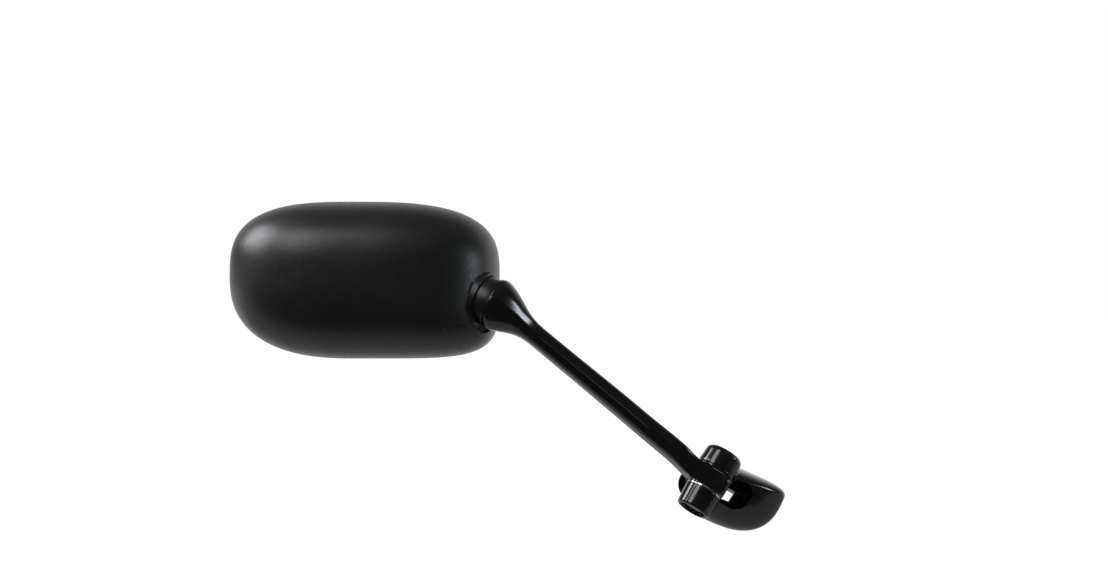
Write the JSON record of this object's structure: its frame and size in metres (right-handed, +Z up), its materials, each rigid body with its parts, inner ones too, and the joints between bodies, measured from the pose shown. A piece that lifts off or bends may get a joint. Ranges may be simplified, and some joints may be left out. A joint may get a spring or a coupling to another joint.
{
  "type": "folding motorcycle mirror",
  "caption": "Right-hand fairing mirror with a moulded black head on a ball neck, a cast arm and a folding pivot on a hooded base.",
  "frame": {"origin": "midway between the two mounting holes, on the face that seats on the fairing", "axes": "+X to the viewer's right as one faces the bike, +Y rearwards into the fairing, +Z up"},
  "size_m": [0.3636, 0.094, 0.2173],
  "materials": {
    "housing_plastic": "satin",
    "sleeve_plastic": "satin",
    "inner_plastic": "matte",
    "mirror": "polished",
    "pad": "matte",
    "seal_rubber": "matte",
    "nylon": "satin",
    "zinc_steel": "satin",
    "spring_steel": "satin",
    "bright_steel": "polished",
    "bush_brass": "satin",
    "black_casting": "gloss"
  },
  "bodies": {
    "base": {"base_casting": "black_casting", "pivot_bolt": "zinc_steel", "thrust_washer": "bright_steel", "pressure_bush": "zinc_steel", "fold_spring": "spring_steel", "spring_washer": "zinc_steel", "upper_washer": "nylon"},
    "arm": {"arm": "black_casting", "hub_bush": "bush_brass", "ball_stud": "zinc_steel"},
    "front_seat": {"front_seat": "nylon"},
    "rear_seat": {"rear_seat": "nylon"},
    "head": {"housing_shell": "housing_plastic", "mirror_glass": "mirror", "adhesive_pad": "pad", "backing_plate": "inner_plastic", "backing_screws": "zinc_steel", "neck_seal": "seal_rubber", "neck_sleeve": "sleeve_plastic", "seat_spring": "spring_steel", "spring_cap": "zinc_steel", "cap_screws": "zinc_steel"}
  },
  "joints": [
    {"name": "arm_fold", "type": "hinge", "parent": "base", "child": "arm", "pos_m": [-0.0105, -0.026, 0.009], "axis": [0.5119, 0.2588, 0.8192], "range_deg": [-35, 75]},
    {"name": "head_lift", "type": "hinge", "parent": "arm", "child": "front_seat", "pos_m": [-0.15832, -0.06201, 0.12851], "axis": [-0.3305, -0.9438, 0], "range_deg": [-8, 8]},
    {"name": "head_pan", "type": "hinge", "parent": "front_seat", "child": "rear_seat", "pos_m": [-0.15832, -0.06201, 0.12851], "axis": [0.3367, -0.1179, 0.9342], "range_deg": [-10, 10]},
    {"name": "head_tilt", "type": "hinge", "parent": "rear_seat", "child": "head", "pos_m": [-0.15832, -0.06201, 0.12851], "axis": [0.8817, -0.3088, -0.3567], "range_deg": [-15, 15]}
  ]
}
